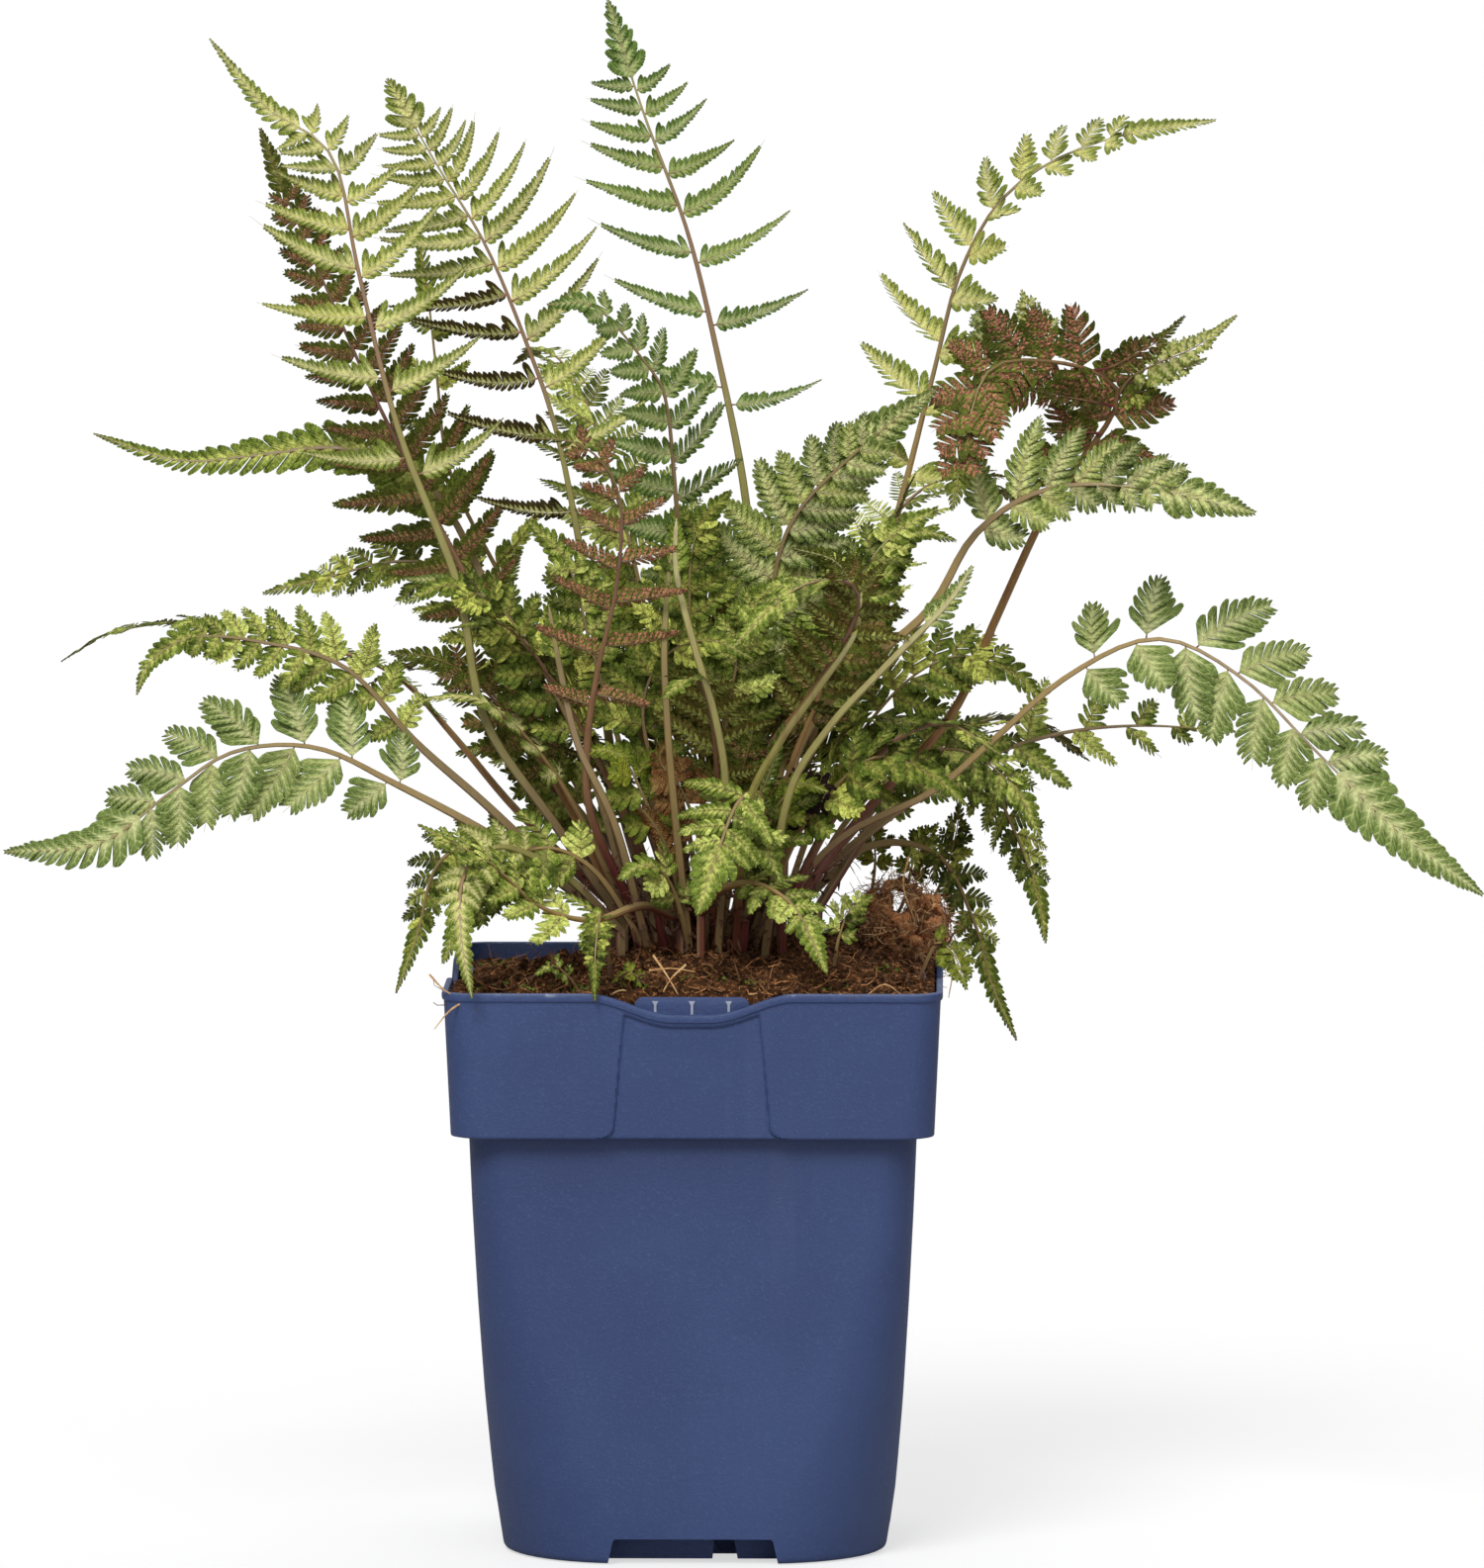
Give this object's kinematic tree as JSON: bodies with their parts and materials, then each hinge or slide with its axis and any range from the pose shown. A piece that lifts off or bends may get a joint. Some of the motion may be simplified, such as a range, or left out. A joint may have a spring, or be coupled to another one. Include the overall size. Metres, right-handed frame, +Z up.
{
  "type": "potted lady fern",
  "caption": "Lady fern with silver-green, deeply cut arching fronds on reddish stipes, rising from a rhizome in peaty soil in a square blue plastic nursery pot",
  "frame": {"origin": "centre of the pot's base, on the surface it stands on", "axes": "+Z up, -Y towards the front of the pot as first seen, +X to its right"},
  "size_m": [0.5082, 0.2535, 0.5361],
  "materials": {
    "pot_plastic": "satin",
    "peat": "matte",
    "rhizome_chaff": "matte",
    "pale_leaf": "matte",
    "green_leaf": "matte",
    "silver_leaf": "matte",
    "dark_leaf": "matte",
    "fertile_leaf": "matte"
  },
  "bodies": {
    "root": {"pot": "pot_plastic", "soil": "peat", "rhizome": "rhizome_chaff", "frond_tall_left": "pale_leaf", "frond_left_fertile": "fertile_leaf", "frond_second_tall": "pale_leaf", "frond_centre_tall": "pale_leaf", "frond_arched_mid": "green_leaf", "frond_right_top": "green_leaf", "frond_right_curl": "fertile_leaf", "frond_right_light": "silver_leaf", "frond_right_big": "pale_leaf", "frond_right_low": "green_leaf", "frond_right_drop": "dark_leaf", "frond_right_rim": "green_leaf", "frond_left_low": "pale_leaf", "frond_left_mid": "green_leaf", "frond_left_mid_low": "green_leaf", "frond_left_needle": "silver_leaf", "frond_back_left": "dark_leaf", "frond_centre_fertile": "fertile_leaf", "frond_front_drop": "pale_leaf", "frond_front_left": "green_leaf", "frond_front_right": "green_leaf", "frond_rim_left": "dark_leaf", "frond_rim_light": "pale_leaf", "frond_centre_right": "green_leaf", "frond_silver_mid": "silver_leaf", "frond_back_dark": "dark_leaf", "frond_back_high": "green_leaf", "frond_back_right": "green_leaf", "frond_back_low": "dark_leaf", "frond_back_corner": "green_leaf", "frond_back_side": "dark_leaf", "frond_mid_left": "dark_leaf", "frond_mid_front": "green_leaf", "frond_mid_right": "dark_leaf", "frond_mid_high": "green_leaf"}
  },
  "joints": []
}
